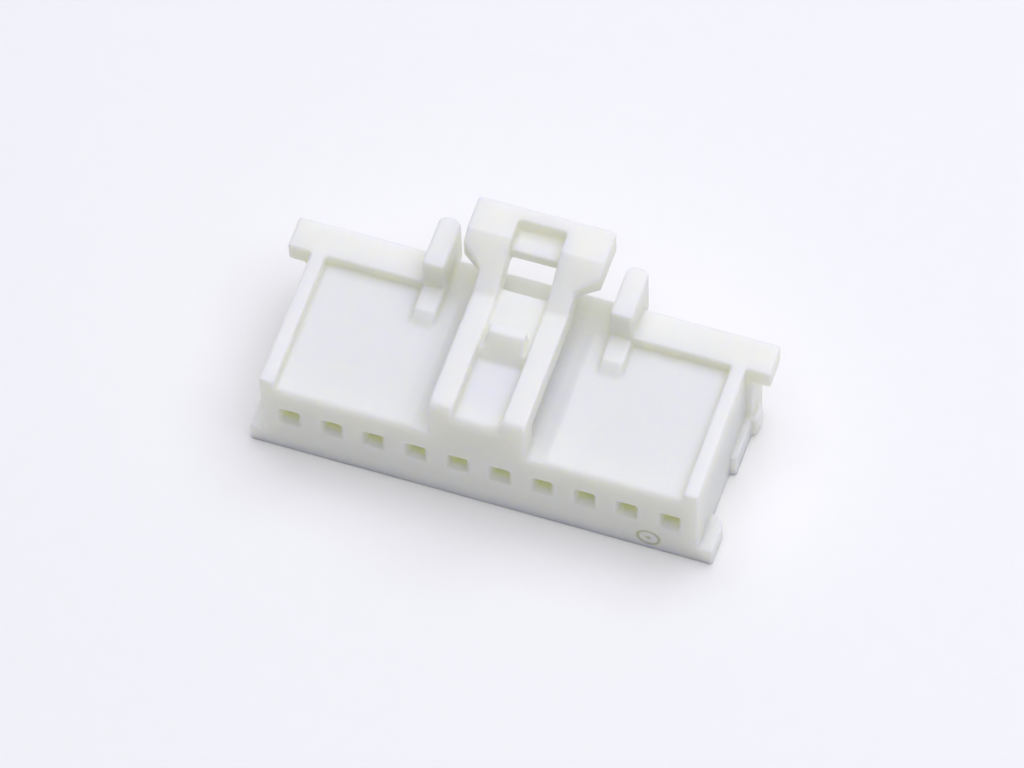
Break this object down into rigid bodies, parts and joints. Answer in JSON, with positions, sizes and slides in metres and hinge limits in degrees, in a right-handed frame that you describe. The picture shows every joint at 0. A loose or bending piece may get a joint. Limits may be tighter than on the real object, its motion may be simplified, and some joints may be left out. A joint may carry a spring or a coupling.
{
  "type": "wire-to-board connector housing",
  "caption": "White moulded crimp housing for a single row of contacts, with a sprung top latch and thumb tab, guard posts, end rims, ears and keys.",
  "frame": {"origin": "middle of the contact row and of the overall length, in the plane of the underside", "axes": "+X along the contact row, +Y from the mating face to the wire face, +Z from the underside to the latch"},
  "size_m": [0.023, 0.0104, 0.0087],
  "materials": {
    "natural_nylon": "natural white, slightly translucent moulded nylon with a satin surface"
  },
  "bodies": {
    "root": {"housing": "natural_nylon"}
  },
  "joints": []
}
